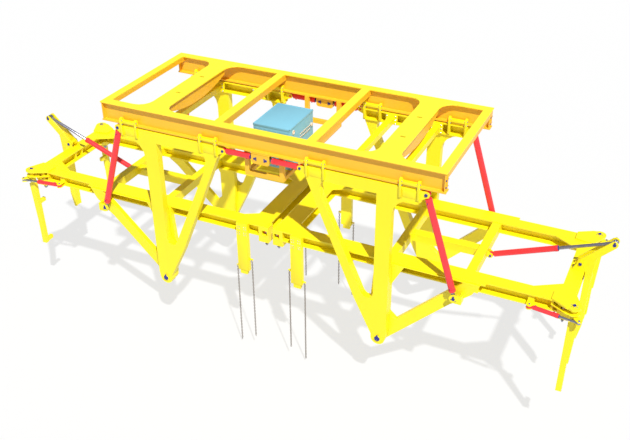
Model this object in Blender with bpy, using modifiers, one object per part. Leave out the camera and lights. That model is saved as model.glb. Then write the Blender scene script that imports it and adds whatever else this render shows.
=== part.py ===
"""A twin-lift tilting container spreader: a head frame that hangs from a crane's headblock, two carriages that
slide along it, and under each carriage a tilt frame that locks onto one 20 ft container and tips it.

Metres, +Z up. X runs along the containers, Y across them. The origin is the centre of the headblock face, level
with the top of the head frame. Heights in this script are measured from the plane of the containers' roofs, which
lies ROOF below the origin. Shapes are described once, for the quadrant x > 0, y > 0, and mirrored into place.
"""

from math import cos, pi, radians, sin

import bmesh
import bpy
from mathutils import Matrix, Vector

# Driving dimensions
ROOF = -2.67  # the containers' roof plane, from the top of the head frame
GAP = 0.0003  # between pieces that rest on each other
FREE = 0.004  # running clearance around pins, rods and slides

# ISO 20 ft container corners
LOCK_X = (0.141, 5.994)  # twistlock axes of the inner and outer corners
LOCK_Y = 1.1295

# Head frame
HEAD_X = 3.70
HEAD_Y = 1.43  # web of the long beams
HEAD_TOP = -ROOF
HEAD_DEPTH = 0.42
HEAD_BOTTOM = HEAD_TOP - HEAD_DEPTH
FLANGE = 0.03
FLANGE_HALF = 0.09
WEB_HALF = 0.01
DECK_X = (2.27, 2.71)  # the wide plate that takes the headblock
DECK_FILLET = 0.28

# Carriage
BEAM_X = (0.95, 3.25)
BEAM_DROP = 0.03  # from the underside of the head frame to the carriage beams
BEAM_HEIGHT = 0.25
BEAM_Z = (HEAD_BOTTOM - BEAM_DROP - BEAM_HEIGHT, HEAD_BOTTOM - BEAM_DROP)
SIDE_Y = (HEAD_Y - 0.06, HEAD_Y + 0.10)  # inner and outer face of the V frame
HOOK_X = (0.985, 1.34, 2.86, 3.21)
CROSS_X = (1.60, 2.60)
SEPARATION_STROKE = 0.40
SEPARATION_Y = HEAD_Y + 0.045
SEPARATION_Z = BEAM_Z[1] - 0.085
SEPARATION_PIN_X = 0.84
BRACKET_PIN_X = 0.125

# Tilt frame and its pivot
PIVOT = Vector((2.54, 0.0, -1.383))
PIVOT_RADIUS = 0.06
ARM_Y = (1.255, 1.355)  # inner and outer face of the hinge plate
FRAME_X = (0.09, 6.13)
FRAME_Z = (0.16, 0.41)
FRAME_Y = (0.95, 1.24)
WEB_Y = 1.095
END_BEAMS = ((0.09, 0.49), (5.85, 6.13))
CROSS_MEMBERS = ((2.52, 2.69), (4.07, 4.25))
TILT_TOP = Vector((3.343, HEAD_Y + 0.02, BEAM_Z[0] + 0.174))
TILT_FOOT = Vector((4.014, TILT_TOP.y, 0.048))
TILT_REACH = (TILT_TOP - TILT_FOOT).length
TILT_ANGLE = radians(45)

# Door gear
LEVER_PIVOT = Vector((6.03, 0.0, 0.568))
LEVER_HORN = Vector((6.563, 0.0, 1.116))
LEVER_BASE = Vector((4.31, 0.0, 0.237))
EAR = Vector((6.174, 1.307, 0.0))
CRANK = Vector((6.313, 1.458, 0.2075))
CRANK_BASE = Vector((5.39, 1.329, 0.2075))
ARM_FOOT = -1.55

# Chain arms and chains
CHAIN_ARM_X = (0.50, 0.755)
CHAIN_ARM_Y = (1.245, 1.335)
CHAIN_RADIUS = 0.018
CHAINS = {"inner": (0.441, -0.48, 2.04), "outer": (0.799, -0.70, 2.03)}  # x, height of the top link, length
CHAIN_Y = 1.29

LEFT_RIGHT = {"left": -1, "right": 1}
FRONT_BACK = {"front": -1, "back": 1}


# Shapes


def link(data):
    shape = bpy.data.objects.new("piece", data)
    workshop.objects.link(shape)
    return shape


def baked(shape, matrix=None, tidy=False):
    """The shape's evaluated mesh as a new object, welded and facing out; the shape itself is removed."""
    graph = bpy.context.evaluated_depsgraph_get()
    mesh = bpy.data.meshes.new_from_object(shape.evaluated_get(graph))
    bpy.data.objects.remove(shape)
    form = bmesh.new()
    form.from_mesh(mesh)
    if matrix is not None:
        form.transform(matrix)
    bmesh.ops.remove_doubles(form, verts=form.verts, dist=1e-6)
    if tidy:
        bmesh.ops.dissolve_limit(form, angle_limit=radians(0.1), verts=form.verts, edges=form.edges)
    bmesh.ops.recalc_face_normals(form, faces=form.faces)
    form.to_mesh(mesh)
    form.free()
    return link(mesh)


def box(x, y, z):
    """A box between the two values of each pair."""
    form = bmesh.new()
    bmesh.ops.create_cube(form, size=1)
    sizes = [high - low for low, high in (x, y, z)]
    centre = [(high + low) / 2 for low, high in (x, y, z)]
    form.transform(Matrix.Translation(centre) @ Matrix.Diagonal((*sizes, 1)))
    mesh = bpy.data.meshes.new("box")
    form.to_mesh(mesh)
    form.free()
    return link(mesh)


def bar(start, end, radius, sides=10):
    """A round bar between two points."""
    start, end = Vector(start), Vector(end)
    form = bmesh.new()
    length = (end - start).length
    bmesh.ops.create_cone(form, cap_ends=True, segments=sides, radius1=radius, radius2=radius, depth=length)
    turn = Vector((0, 0, 1)).rotation_difference(end - start).to_matrix().to_4x4()
    form.transform(Matrix.Translation((start + end) / 2) @ turn)
    mesh = bpy.data.meshes.new("bar")
    form.to_mesh(mesh)
    form.free()
    return link(mesh)


def pin(centre, half, radius, axis="Y", sides=10):
    """A round pin centred on a point, along an axis."""
    reach = Vector([half if name == axis else 0 for name in "XYZ"])
    return bar(Vector(centre) - reach, Vector(centre) + reach, radius, sides)


def plate(outline, span, across="Y", holes=()):
    """A flat outline with holes, filling the span across an axis. Its points are (x, z), (x, y) or (y, z)."""
    curve = bpy.data.curves.new("outline", "CURVE")
    curve.dimensions = "2D"
    curve.fill_mode = "BOTH"
    curve.extrude = (span[1] - span[0]) / 2
    for ring in (outline, *holes):
        spline = curve.splines.new("POLY")
        spline.points.add(len(ring) - 1)
        for point, (u, v) in zip(spline.points, ring):
            point.co = (u, v, 0, 1)
        spline.use_cyclic_u = True
    middle = (span[0] + span[1]) / 2
    columns = {
        "X": ((0, 1, 0), (0, 0, 1), (1, 0, 0)),
        "Y": ((1, 0, 0), (0, 0, 1), (0, -1, 0)),
        "Z": ((1, 0, 0), (0, 1, 0), (0, 0, 1)),
    }[across]
    turn = Matrix(columns).transposed().to_4x4()
    shift = Matrix.Translation([middle if name == across else 0 for name in "XYZ"])
    return baked(link(curve), shift @ turn)


def turned(profile, start, toward, sides=12):
    """A turned shape: (distance, radius) points from a start point toward another."""
    mesh = bpy.data.meshes.new("profile")
    points = [(distance, 0, radius) for distance, radius in profile]
    mesh.from_pydata(points, [(i, i + 1) for i in range(len(points) - 1)], [])
    shape = link(mesh)
    screw = shape.modifiers.new("turn", "SCREW")
    screw.axis = "X"
    screw.steps = screw.render_steps = sides
    screw.use_merge_vertices = True
    screw.merge_threshold = 1e-5
    way = Vector(toward) - Vector(start)
    turn = Vector((1, 0, 0)).rotation_difference(way).to_matrix().to_4x4()
    return baked(shape, Matrix.Translation(start) @ turn)


def arc(centre, radius, first, last, steps=4):
    """Points on an arc, with angles in degrees."""
    return [
        (centre[0] + radius * cos(angle), centre[1] + radius * sin(angle))
        for angle in (radians(first + (last - first) * i / steps) for i in range(steps + 1))
    ]


def ring(centre, radius, sides=10):
    return arc(centre, radius, 0, 360 - 360 / sides, sides - 1)


def across(shape, sign):
    """The shape, or its mirror image across the plane y = 0."""
    if sign < 0:
        shape.data.transform(Matrix.Diagonal((1, -1, 1, 1)))
        shape.data.flip_normals()
    return shape


def fuse(pieces, cuts=()):
    """The union of the pieces less the cuts, as one mesh."""
    base = pieces[0]
    for operation, others in (("UNION", pieces[1:]), ("DIFFERENCE", cuts)):
        for other in others:
            boolean = base.modifiers.new("boolean", "BOOLEAN")
            boolean.operation = operation
            boolean.object = other
    solid = baked(base, tidy=True)
    mesh = solid.data
    for shape in (solid, *pieces[1:], *cuts):
        bpy.data.objects.remove(shape)
    return mesh


def place(name, mesh, paint, pivot=(0, 0, 0), mirror=(1, 1), body=None):
    """A named sub-part: the mesh mirrored into its quadrant, with its origin on the pivot."""
    signs = Vector((*mirror, 1))
    form = bmesh.new()
    form.from_mesh(mesh)
    form.transform(Matrix.Diagonal((*signs, 1)) @ Matrix.Translation(-Vector(pivot)))
    if mirror[0] * mirror[1] < 0:
        bmesh.ops.reverse_faces(form, faces=form.faces)
    copy = bpy.data.meshes.new(name)
    form.to_mesh(copy)
    form.free()
    copy.shade_smooth()
    copy.set_sharp_from_angle(angle=radians(35))
    copy.materials.append(paint)
    part = bpy.data.objects.new(name, copy)
    spreader.objects.link(part)
    part.location = Vector(pivot) * signs + Vector((0, 0, ROOF))
    if body is not None:
        part.parent = body
        part.location -= body.location
    return part


def joint(name, pivot, mirror=(1, 1)):
    """An empty on a joint's axis, which the pieces of a moving body hang from."""
    empty = bpy.data.objects.new(name, None)
    empty.empty_display_size = 0.2
    empty.location = Vector(pivot) * Vector((*mirror, 1)) + Vector((0, 0, ROOF))
    spreader.objects.link(empty)
    return empty


def paint(name, colour, roughness=0.45, metallic=0.0):
    material = bpy.data.materials.new(name)
    material.use_nodes = True
    shader = material.node_tree.nodes["Principled BSDF"]
    shader.inputs["Base Color"].default_value = (*colour, 1)
    shader.inputs["Roughness"].default_value = roughness
    shader.inputs["Metallic"].default_value = metallic
    return material


# Head frame


def deck_plate():
    """The wide top plate: large fillets run into the long beams, and two slots take the headblock's keys."""
    inner, outer = DECK_X
    root = HEAD_Y - FLANGE_HALF
    reach = root - DECK_FILLET
    edge = root + 0.02
    outline = [(outer + DECK_FILLET, edge)]
    outline += arc((outer + DECK_FILLET, reach), DECK_FILLET, 90, 180)
    outline += arc((outer + DECK_FILLET, -reach), DECK_FILLET, 180, 270)
    outline += [(outer + DECK_FILLET, -edge), (inner - DECK_FILLET, -edge)]
    outline += arc((inner - DECK_FILLET, -reach), DECK_FILLET, 270, 360)
    outline += arc((inner - DECK_FILLET, reach), DECK_FILLET, 0, 90)
    outline += [(inner - DECK_FILLET, edge)]
    middle = (inner + outer) / 2
    slots = [
        [(middle + a * 0.055, y + b * 0.025) for a, b in ((-1, -1), (1, -1), (1, 1), (-1, 1))] for y in (-0.47, 0.47)
    ]
    return plate(outline, (HEAD_TOP - FLANGE, HEAD_TOP), "Z", slots)


def haunch():
    """The box under the wide plate: two webs and a bottom plate that sags to the middle."""
    half, end_depth, middle_depth, sheet = 1.12, 0.15, 0.33, 0.02
    top = HEAD_TOP - FLANGE / 2

    def sag(y, inset):
        return HEAD_TOP - end_depth - (middle_depth - end_depth) * (1 - (y / half) ** 2) + inset

    ys = [half * (i / 4 - 1) for i in range(9)]
    web = [(half, top), (-half, top)] + [(y, sag(y, 0)) for y in ys]
    bottom = [(y, sag(y, 0)) for y in ys] + [(y, sag(y, sheet)) for y in reversed(ys)]
    inner, outer = DECK_X[0] + 0.04, DECK_X[1] - 0.04
    pieces = [plate(web, (x, x + sheet), "X") for x in (inner, outer - sheet)]
    pieces.append(plate(bottom, (inner + 0.005, outer - 0.005), "X"))
    ends = ((-half, -half + sheet), (half - sheet, half))
    pieces += [box((inner + 0.005, outer - 0.005), y, (HEAD_TOP - end_depth + 0.002, top)) for y in ends]
    return pieces


def cradle():
    """The hung frame that carries the control cabinet: four posts from the long beams, and its bottom rails."""
    post, low, high = 0.045, 1.66, 1.75
    x, y = 0.38, HEAD_Y - 0.08
    pieces = []
    for sx in (-1, 1):
        for sy in (-1, 1):
            cx, cy = sx * x, sy * y
            pieces.append(box((cx - post, cx + post), (cy - post, cy + post), (low, HEAD_BOTTOM + 0.01)))
        pieces.append(box((sx * x - post, sx * x + post), (-y, y), (low, high)))
    for cy in (-y, y):
        pieces.append(box((-x, x), (cy - post, cy + post), (low, high)))
    for cy in (-0.85, 0.0):
        pieces.append(box((-x, x), (cy - post, cy + post), (low, high)))
    return pieces


def head_frame():
    pieces = []
    for sign in (-1, 1):
        y = sign * HEAD_Y
        flange = (y - FLANGE_HALF, y + FLANGE_HALF)
        pieces.append(box((-HEAD_X, HEAD_X), flange, (HEAD_TOP - FLANGE, HEAD_TOP)))
        pieces.append(box((-HEAD_X, HEAD_X), flange, (HEAD_BOTTOM, HEAD_BOTTOM + FLANGE)))
        web = (y - WEB_HALF, y + WEB_HALF)
        pieces.append(box((-HEAD_X, HEAD_X), web, (HEAD_BOTTOM + 0.01, HEAD_TOP - 0.01)))
        for end in (-1, 1):
            x = sorted((end * (HEAD_X - 0.04), end * (HEAD_X - 0.02)))
            stiffener = (y - FLANGE_HALF + 0.01, y + FLANGE_HALF - 0.01)
            pieces.append(box(x, stiffener, (HEAD_BOTTOM + 0.01, HEAD_TOP - 0.01)))
    for end in (-1, 1):
        tube = sorted((end * (HEAD_X - 0.17), end * HEAD_X))
        pieces.append(box(tube, (-HEAD_Y, HEAD_Y), (HEAD_TOP - 0.13, HEAD_TOP)))
        pieces.append(box((end * 1.0 - 0.09, end * 1.0 + 0.09), (-HEAD_Y, HEAD_Y), (HEAD_TOP - 0.15, HEAD_TOP)))
        turn = Matrix.Rotation(pi if end < 0 else 0, 4, "Z")
        for shape in [deck_plate(), *haunch()]:
            shape.data.transform(turn)
            pieces.append(shape)
    return fuse(pieces + cradle())


def centre_rods():
    """The centre bracket under a long beam, with the rods of the two separation cylinders pinned in it."""
    top = HEAD_BOTTOM - GAP
    inner, outer = SEPARATION_Y - 0.06, SEPARATION_Y + 0.06
    pieces = [box((-0.20, 0.20), (inner, outer), (top - 0.02, top))]
    side, foot = SEPARATION_Z - 0.065, SEPARATION_Z - 0.11
    cheek = [(-0.195, top - 0.01), (-0.195, side), (-0.15, foot), (0.15, foot), (0.195, side), (0.195, top - 0.01)]
    for y in ((inner, inner + 0.02), (outer - 0.02, outer)):
        pieces.append(plate(cheek, y))
    for sign in (-1, 1):
        eye = (sign * BRACKET_PIN_X, SEPARATION_Y, SEPARATION_Z)
        pieces.append(pin(eye, 0.068, 0.024))
        pieces.append(pin(eye, 0.03, 0.05))
        pieces.append(bar(eye, (sign * 0.70, SEPARATION_Y, SEPARATION_Z), 0.03, 12))
    return fuse(pieces)


# Carriage


def hook(x, outer):
    """A hook plate that grips the long beam's bottom flange from one side and is welded to the carriage beam."""
    side = 1 if outer else -1
    grip = FLANGE_HALF + FREE
    back = 0.135
    top = HEAD_BOTTOM + FLANGE

    def at(offset, z):
        return (HEAD_Y + side * offset, z)

    low, high = BEAM_Z[0] + 0.02, BEAM_Z[1] - 0.015
    outline = [at(0.07, low), at(back, low + 0.03), at(back, top + 0.06), at(0.115, top + 0.102), at(0.075, top + 0.115)]
    outline += [at(0.035, top + 0.07), at(0.035, top + FREE), at(grip, top + FREE), at(grip, high), at(0.07, high)]
    if side > 0:
        outline.reverse()
    return plate(outline, (x - 0.0175, x + 0.0175), "X")


def v_outline():
    """The V of the side frame: a plumb outer leg, a raking inner leg, and one lobe around the pivot."""
    px, pz = PIVOT.x, PIVOT.z
    high = BEAM_Z[0] + 0.015
    outline = [(0.965, high), (1.187, high - 0.55), (2.00, -0.52), (2.39, -1.31)]
    outline += arc((px, pz), 0.15, 190, 350, 6)
    outline += [(2.71, -1.26), (2.71, high - 0.565)]
    outline += arc((3.11, high - 0.415), 0.40, 180, 92, 4)
    outline += [(3.14, high), (2.405, high)]
    outline += arc((2.28, -0.32), 0.125, 0, -156, 4)
    outline += [(1.295, high - 0.375), (1.255, high - 0.185)]
    outline += arc((1.375, high - 0.122), 0.115, 183, 95, 3)
    outline += [(1.42, high)]
    return outline


def side_frame():
    """One side of a carriage: channel beam, hooks and slide pads above, V frame and pivot pin below."""
    (low, high), (inner, outer) = BEAM_Z, SIDE_Y
    pieces = [
        box(BEAM_X, (outer - 0.025, outer), BEAM_Z),
        box(BEAM_X, (inner - 0.04, outer - 0.005), (high - 0.025, high - GAP)),
        box(BEAM_X, (inner - 0.04, outer - 0.005), (low + GAP, low + 0.025)),
        plate(v_outline(), SIDE_Y),
    ]
    for x in HOOK_X:
        pieces.append(box((x - 0.01, x + 0.01), (inner - 0.035, outer - 0.015), (low + 0.01, high - 0.01)))
    for x in CROSS_X:
        pieces.append(box((x - 0.13, x + 0.13), (inner - 0.05, inner - 0.025), (low + 0.006, high - 0.006)))
    for x in HOOK_X:
        pieces += [hook(x, True), hook(x, False)]
    for first, last in (HOOK_X[:2], HOOK_X[2:]):
        pad_top, clamp = HEAD_BOTTOM - GAP, HEAD_BOTTOM + FLANGE + FREE + 0.0005
        pieces.append(box((first - 0.01, last + 0.01), (HEAD_Y - 0.07, HEAD_Y + 0.07), (high - 0.02, pad_top)))
        for y in ((HEAD_Y + 0.045, HEAD_Y + 0.115), (HEAD_Y - 0.115, HEAD_Y - 0.045)):
            pieces.append(box((first, last), y, (clamp, clamp + 0.0605)))
    lug = arc((SEPARATION_PIN_X, SEPARATION_Z), 0.055, 90, 270) + [(0.97, low + 0.06), (0.97, high - 0.02)]
    hole = ring((SEPARATION_PIN_X, SEPARATION_Z), 0.025 + FREE / 2)
    for offset in (-0.055, 0.035):
        y = (SEPARATION_Y + offset, SEPARATION_Y + offset + 0.02)
        pieces.append(plate(lug, y, holes=[hole]))
    top = (TILT_TOP.x, TILT_TOP.z)
    lug = arc(top, 0.07, -90, 90) + [(3.20, high - 0.02), (3.20, low + 0.01)]
    hole = ring(top, 0.03 + FREE / 2)
    for offset in (-0.065, 0.045):
        y = (TILT_TOP.y + offset, TILT_TOP.y + offset + 0.02)
        pieces.append(plate(lug, y, holes=[hole]))
    pieces.append(box((3.18, 3.265), (TILT_TOP.y - 0.065, TILT_TOP.y + 0.065), (low + 0.01, high - 0.02)))
    pieces.append(bar((PIVOT.x, ARM_Y[0] - 0.01, PIVOT.z), (PIVOT.x, outer + 0.017, PIVOT.z), PIVOT_RADIUS, 16))
    return fuse(pieces)


def cross_beam(x):
    """A box beam that ties the two side frames of a carriage, with bolted end plates."""
    face = SIDE_Y[0] - 0.05 - GAP
    low, high = BEAM_Z
    pieces = [box((x - 0.07, x + 0.07), (-face + 0.01, face - 0.01), (low + 0.05, high - 0.07))]
    for y in ((-face, -face + 0.02), (face - 0.02, face)):
        pieces.append(box((x - 0.12, x + 0.12), y, (low + 0.015, high - 0.015)))
    return fuse(pieces)


# Hydraulic cylinders


def barrel(base, toward, length, radius, rod, half, clear, cross, axis="Y"):
    """A cylinder barrel: an eye on its cross pin, a neck that clears the lugs, and a body bored for the rod."""
    base, toward = Vector(base), Vector(toward)
    neck, bore = half * 0.95, rod + FREE
    profile = [(0, 0), (0, neck), (clear, neck), (clear, radius), (length, radius), (length, bore)]
    profile += [(clear + 0.03, bore), (clear + 0.03, 0)]
    eye = pin(base, half, clear * 0.72, axis)
    return fuse([turned(profile, base, toward), eye, pin(base, cross[0], cross[1], axis)])


def rod(tip, toward, length, radius, half, eye, axis="Y"):
    """A piston rod with the eye at its tip."""
    tip = Vector(tip)
    return fuse([bar(tip, tip + (Vector(toward) - tip).normalized() * length, radius), pin(tip, half, eye, axis)])


def tilt_barrel():
    return barrel(TILT_TOP, TILT_FOOT, TILT_REACH - 0.1408, 0.065, 0.036, 0.042, 0.09, (0.072, 0.03))


def tilt_rod():
    return rod(TILT_FOOT, TILT_TOP, TILT_REACH - 0.2008, 0.036, 0.03, 0.06)


def separation_barrel():
    base = Vector((SEPARATION_PIN_X, SEPARATION_Y, SEPARATION_Z))
    return barrel(base, base - Vector((1, 0, 0)), 0.60, 0.058, 0.03, 0.032, 0.07, (0.058, 0.025))


def lever_barrel():
    return barrel(LEVER_BASE, LEVER_HORN, 1.35, 0.058, 0.033, 0.039, 0.07, (0.075, 0.022))


def lever_rod():
    return rod(LEVER_HORN, LEVER_BASE, 1.66, 0.033, 0.035, 0.06)


def corner_barrel():
    return barrel(CRANK_BASE, CRANK, 0.56, 0.042, 0.022, 0.025, 0.075, (0.048, 0.016), "Z")


def corner_rod():
    return rod(CRANK, CRANK_BASE, 0.53, 0.022, 0.02, 0.036, "Z")


# Tilt frame


def frame_beams():
    """The rectangle of I-beams with its cross members and the member between them."""
    low, high = FRAME_Z
    sheet = 0.03
    pieces = []
    levels = ((high - sheet, high), (low, low + sheet))
    for sign in (-1, 1):
        y = sorted((sign * FRAME_Y[0], sign * FRAME_Y[1]))
        pieces += [box(FRAME_X, y, z) for z in levels]
        web = sorted((sign * (WEB_Y - 0.01), sign * (WEB_Y + 0.01)))
        pieces.append(box((FRAME_X[0] + 0.01, FRAME_X[1] - 0.01), web, (low + 0.01, high - 0.01)))
    for x in END_BEAMS:
        pieces += [box(x, (-1.0, 1.0), z) for z in levels]
        middle = (x[0] + x[1]) / 2
        pieces.append(box((middle - 0.01, middle + 0.01), (-WEB_Y, WEB_Y), (low + 0.01, high - 0.01)))
    for x in CROSS_MEMBERS:
        pieces.append(box(x, (-WEB_Y, WEB_Y), (0.20, 0.395)))
    pieces.append(box((2.60, 4.16), (-0.095, 0.095), (0.175, 0.345)))
    return pieces


def gussets(sign):
    """Corner plates between the side and end beams, level with their top flanges."""
    level = (FRAME_Z[1] - 0.025, FRAME_Z[1] - 0.002)
    inner = [(0.45, 0.79), (0.49, 0.79), (0.81, 0.97), (0.45, 0.97)]
    outer = [(5.89, 0.65), (5.85, 0.65), (5.34, 0.96), (5.89, 0.96)]
    return [across(plate(outline, level, "Z"), sign) for outline in (inner, outer)]


def hinge_plate(sign):
    """The side bracket: a leg and a diagonal arm from the pivot up to the side beam, around a triangle."""
    px, pz = PIVOT.x, PIVOT.z
    foot = (TILT_FOOT.x, TILT_FOOT.z)
    outline = [(2.36, 0.385), (2.30, -0.45), (2.395, -1.34)]
    outline += arc((px, pz), 0.14, 190, 315, 5)
    outline += [(3.92, -0.20)]
    outline += arc(foot, 0.15, -70, -20, 3)
    outline += [(4.32, 0.14), (4.46, 0.385)]
    window = [(2.70, -0.13), (2.70, -0.795), (2.843, -0.92), (4.14, 0.365), (2.96, 0.365)]
    hole = ring((px, pz), PIVOT_RADIUS + FREE, 16)
    pieces = [plate(outline, ARM_Y, holes=[window, hole])]
    for x in ((2.36, 2.70), (4.08, 4.42)):
        pieces.append(box(x, (WEB_Y, 1.30), (0.17, 0.39)))
    ledge = [(1.50, 1.22), (1.85, 1.325), (4.55, 1.325), (4.55, 1.22)]
    pieces.append(plate(ledge, (0.38, 0.409), "Z"))
    ear = arc(foot, 0.09, 90, 270) + [(4.17, -0.042), (4.17, 0.138)]
    pieces.append(plate(ear, (TILT_FOOT.y + 0.04, TILT_FOOT.y + 0.06)))
    pieces.append(box((4.13, 4.17), (1.34, TILT_FOOT.y + 0.06), (-0.04, 0.137)))
    return [across(piece, sign) for piece in pieces]


def corner_ears(sign):
    """Two ear plates that carry the corner arm's pin, and the clevis of its cylinder."""
    ex, ey = EAR.x, EAR.y
    outline = [(5.75, 0.98), (5.75, 1.235), (6.04, 1.40)]
    outline += arc((ex, ey), 0.13, 130, -25, 5)
    outline += [(6.135, 0.93), (5.95, 0.93)]
    hole = ring((ex, ey), 0.035 + FREE)
    pieces = [plate(outline, z, "Z", [hole]) for z in ((0.40, 0.44), (0.285, 0.305))]
    pieces.append(box((5.76, 5.80), (1.0, 1.23), (0.17, 0.40)))
    cx, cy = CRANK_BASE.x, CRANK_BASE.y
    clevis = [(cx + 0.06, 1.10), (cx + 0.06, cy)] + arc((cx, cy), 0.06, 0, 180)[1:] + [(cx - 0.06, 1.10)]
    hole = ring((cx, cy), 0.016 + FREE / 2)
    for z in ((0.162, 0.18), (0.235, 0.253)):
        pieces.append(plate(clevis, z, "Z", [hole]))
    pieces.append(box((cx - 0.06, cx + 0.06), (1.09, 1.20), (0.17, 0.39)))
    return [across(piece, sign) for piece in pieces]


def corner_housings(sign):
    """The boxes that hold the twistlocks, and the cuts for the shaft and the sight windows."""
    pieces, cuts = [], []
    for x in LOCK_X:
        middle = max(x, 0.165)
        pieces.append(box((middle - 0.115, middle + 0.115), (1.03, 1.24), (0.03, 0.40)))
        cuts.append(bar((x, LOCK_Y, 0.0), (x, LOCK_Y, 0.32), 0.055))
        cuts.append(box((x - 0.06, x + 0.06), (LOCK_Y, 1.30), (0.20, 0.31)))
    return [across(piece, sign) for piece in pieces], [across(cut, sign) for cut in cuts]


def chain_arm(sign):
    """The arm that hangs beside the inner corner, with a lug for a chain on each side."""
    x, y = CHAIN_ARM_X, CHAIN_ARM_Y
    pieces = [
        box(x, y, (-0.75, 0.42)),
        box((x[0] + 0.05, x[1] - 0.04), (y[0] + 0.01, y[1] - 0.01), (-0.85, -0.74)),
        box((x[0] + 0.04, x[1] - 0.04), (WEB_Y, y[0] + 0.01), (0.17, 0.39)),
    ]
    for cx, top, _ in CHAINS.values():
        side = sorted((cx + (0.018 if cx > x[1] else -0.018), (x[0] + x[1]) / 2))
        pieces.append(box(side, (CHAIN_Y - 0.018, CHAIN_Y + 0.018), (top + GAP, top + 0.035)))
    return [across(piece, sign) for piece in pieces]


def lever_bearings():
    """Ears on the outer end beam for the door lever, and the clevis of its cylinder on the cross member."""
    px, pz = LEVER_PIVOT.x, LEVER_PIVOT.z
    ear = [(5.88, 0.40)] + arc((px, pz), 0.065, 180, 0) + [(6.125, 0.40)]
    hole = ring((px, pz), 0.03 + FREE / 2)
    pieces = []
    for y in ((-0.125, -0.105), (0.105, 0.125)):
        pieces.append(plate(ear, y, holes=[hole]))
        pieces.append(box((5.86, 5.995), y, (0.17, 0.39)))
    bx, bz = LEVER_BASE.x, LEVER_BASE.z
    clevis = [(4.20, bz - 0.03)] + arc((bx, bz), 0.055, -90, 90) + [(4.20, 0.36)]
    hole = ring((bx, bz), 0.022 + FREE / 2)
    for y in ((-0.062, -0.042), (0.042, 0.062)):
        pieces.append(plate(clevis, y, holes=[hole]))
    return pieces


def tilt_frame():
    pieces, cuts = frame_beams() + lever_bearings(), []
    for sign in (-1, 1):
        housings, bores = corner_housings(sign)
        pieces += housings + gussets(sign) + hinge_plate(sign) + corner_ears(sign) + chain_arm(sign)
        cuts += bores
    return fuse(pieces, cuts)


def twistlock(x):
    """Shaft, collar and T-head of a twistlock, with the head locked across the corner casting."""
    centre = Vector((x, LOCK_Y, 0))
    pieces = [bar(centre + Vector((0, 0, -0.05)), centre + Vector((0, 0, 0.28)), 0.026, 12)]
    pieces.append(bar(centre + Vector((0, 0, 0.16)), centre + Vector((0, 0, 0.20)), 0.048))
    pieces.append(box((x - 0.028, x + 0.028), (LOCK_Y - 0.052, LOCK_Y + 0.052), (-0.10, -0.032)))
    return fuse(pieces)


# Door gear


def lever():
    """The door lever: a forked horn above its pivot and a boxed arm down over the doors."""
    horn, pivot = (LEVER_HORN.x, LEVER_HORN.z), (LEVER_PIVOT.x, LEVER_PIVOT.z)
    outline = [(6.145, -1.20), (6.21, -1.20), (6.27, -0.85), (6.27, 0.30), (6.30, 0.74)]
    outline += arc(horn, 0.07, -45, 135)
    outline += arc(pivot, 0.08, 130, 280)
    outline += [(6.145, 0.40)]
    pieces = [plate(outline, y) for y in ((-0.095, -0.065), (0.065, 0.095))]
    pieces.append(plate([(6.15, -1.19), (6.20, -1.19), (6.26, -0.85), (6.26, 0.50), (6.15, 0.50)], (-0.08, 0.08)))
    pieces.append(pin(LEVER_PIVOT, 0.135, 0.03))
    return fuse(pieces, [pin(LEVER_HORN, 0.1, 0.024)])


def corner_arm():
    """A corner door arm: pin and crank at the ear plates, post and two fingers below."""
    ex, ey = EAR.x, EAR.y
    post = ((ex - 0.055, ex + 0.055), (ey - 0.05, ey + 0.05))
    pieces = [
        bar((ex, ey, 0.10), (ex, ey, 0.452), 0.035),
        bar((ex, ey, 0.309), (ex, ey, 0.396), 0.06),
        bar((ex, ey, 0.08), (ex, ey, 0.278), 0.06),
        box(*post, (ARM_FOOT, 0.14)),
        plate([(ex + 0.04, 0.05), (ex + 0.04, -0.86), (ex + 0.08, -0.86), (ex + 0.12, 0.05)], (ey - 0.03, ey + 0.03)),
    ]
    crank = arc((CRANK.x, CRANK.y), 0.045, -35, 145) + arc((ex, ey), 0.06, 137, 317)
    for z in ((0.165, 0.183), (0.232, 0.25)):
        pieces.append(plate(crank, z, "Z"))
    for z in (-0.50, ARM_FOOT):
        pieces.append(box((ex - 0.035, ex + 0.035), (1.08, ey), (z, z + 0.09)))
    return fuse(pieces)


# Chains


def chain(x, top, length):
    """A hanging chain as a plain round of its outer width."""
    count = 6
    curve = bpy.data.curves.new("chain", "CURVE")
    curve.dimensions = "3D"
    curve.bevel_depth = CHAIN_RADIUS
    curve.bevel_resolution = 2
    curve.use_fill_caps = True
    spline = curve.splines.new("POLY")
    spline.points.add(count - 1)
    for i, point in enumerate(spline.points):
        point.co = (x, CHAIN_Y, top - length * i / (count - 1), 1)
    solid = baked(link(curve))
    mesh = solid.data
    bpy.data.objects.remove(solid)
    return mesh


# Assembly


def cabinet():
    """The control cabinet: a sheet-metal shell, open at its base for the cables."""
    x, y, z, sheet = (-0.395, 0.395), (-1.045, 0.01), (1.75 + GAP, 2.62), 0.004
    inside = [(low + sheet, high - sheet) for low, high in (x, y)]
    return fuse([box(x, y, z)], [box(*inside, (z[0] - 0.1, z[1] - sheet))])


def build_head(paints):
    place("head_frame", head_frame(), paints["frame"])
    place("cabinet", cabinet(), paints["cabinet"])
    rods = centre_rods()
    for face, sy in FRONT_BACK.items():
        place("centre_rods_" + face, rods, paints["steel"], (0, SEPARATION_Y, SEPARATION_Z), (1, sy))


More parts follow.
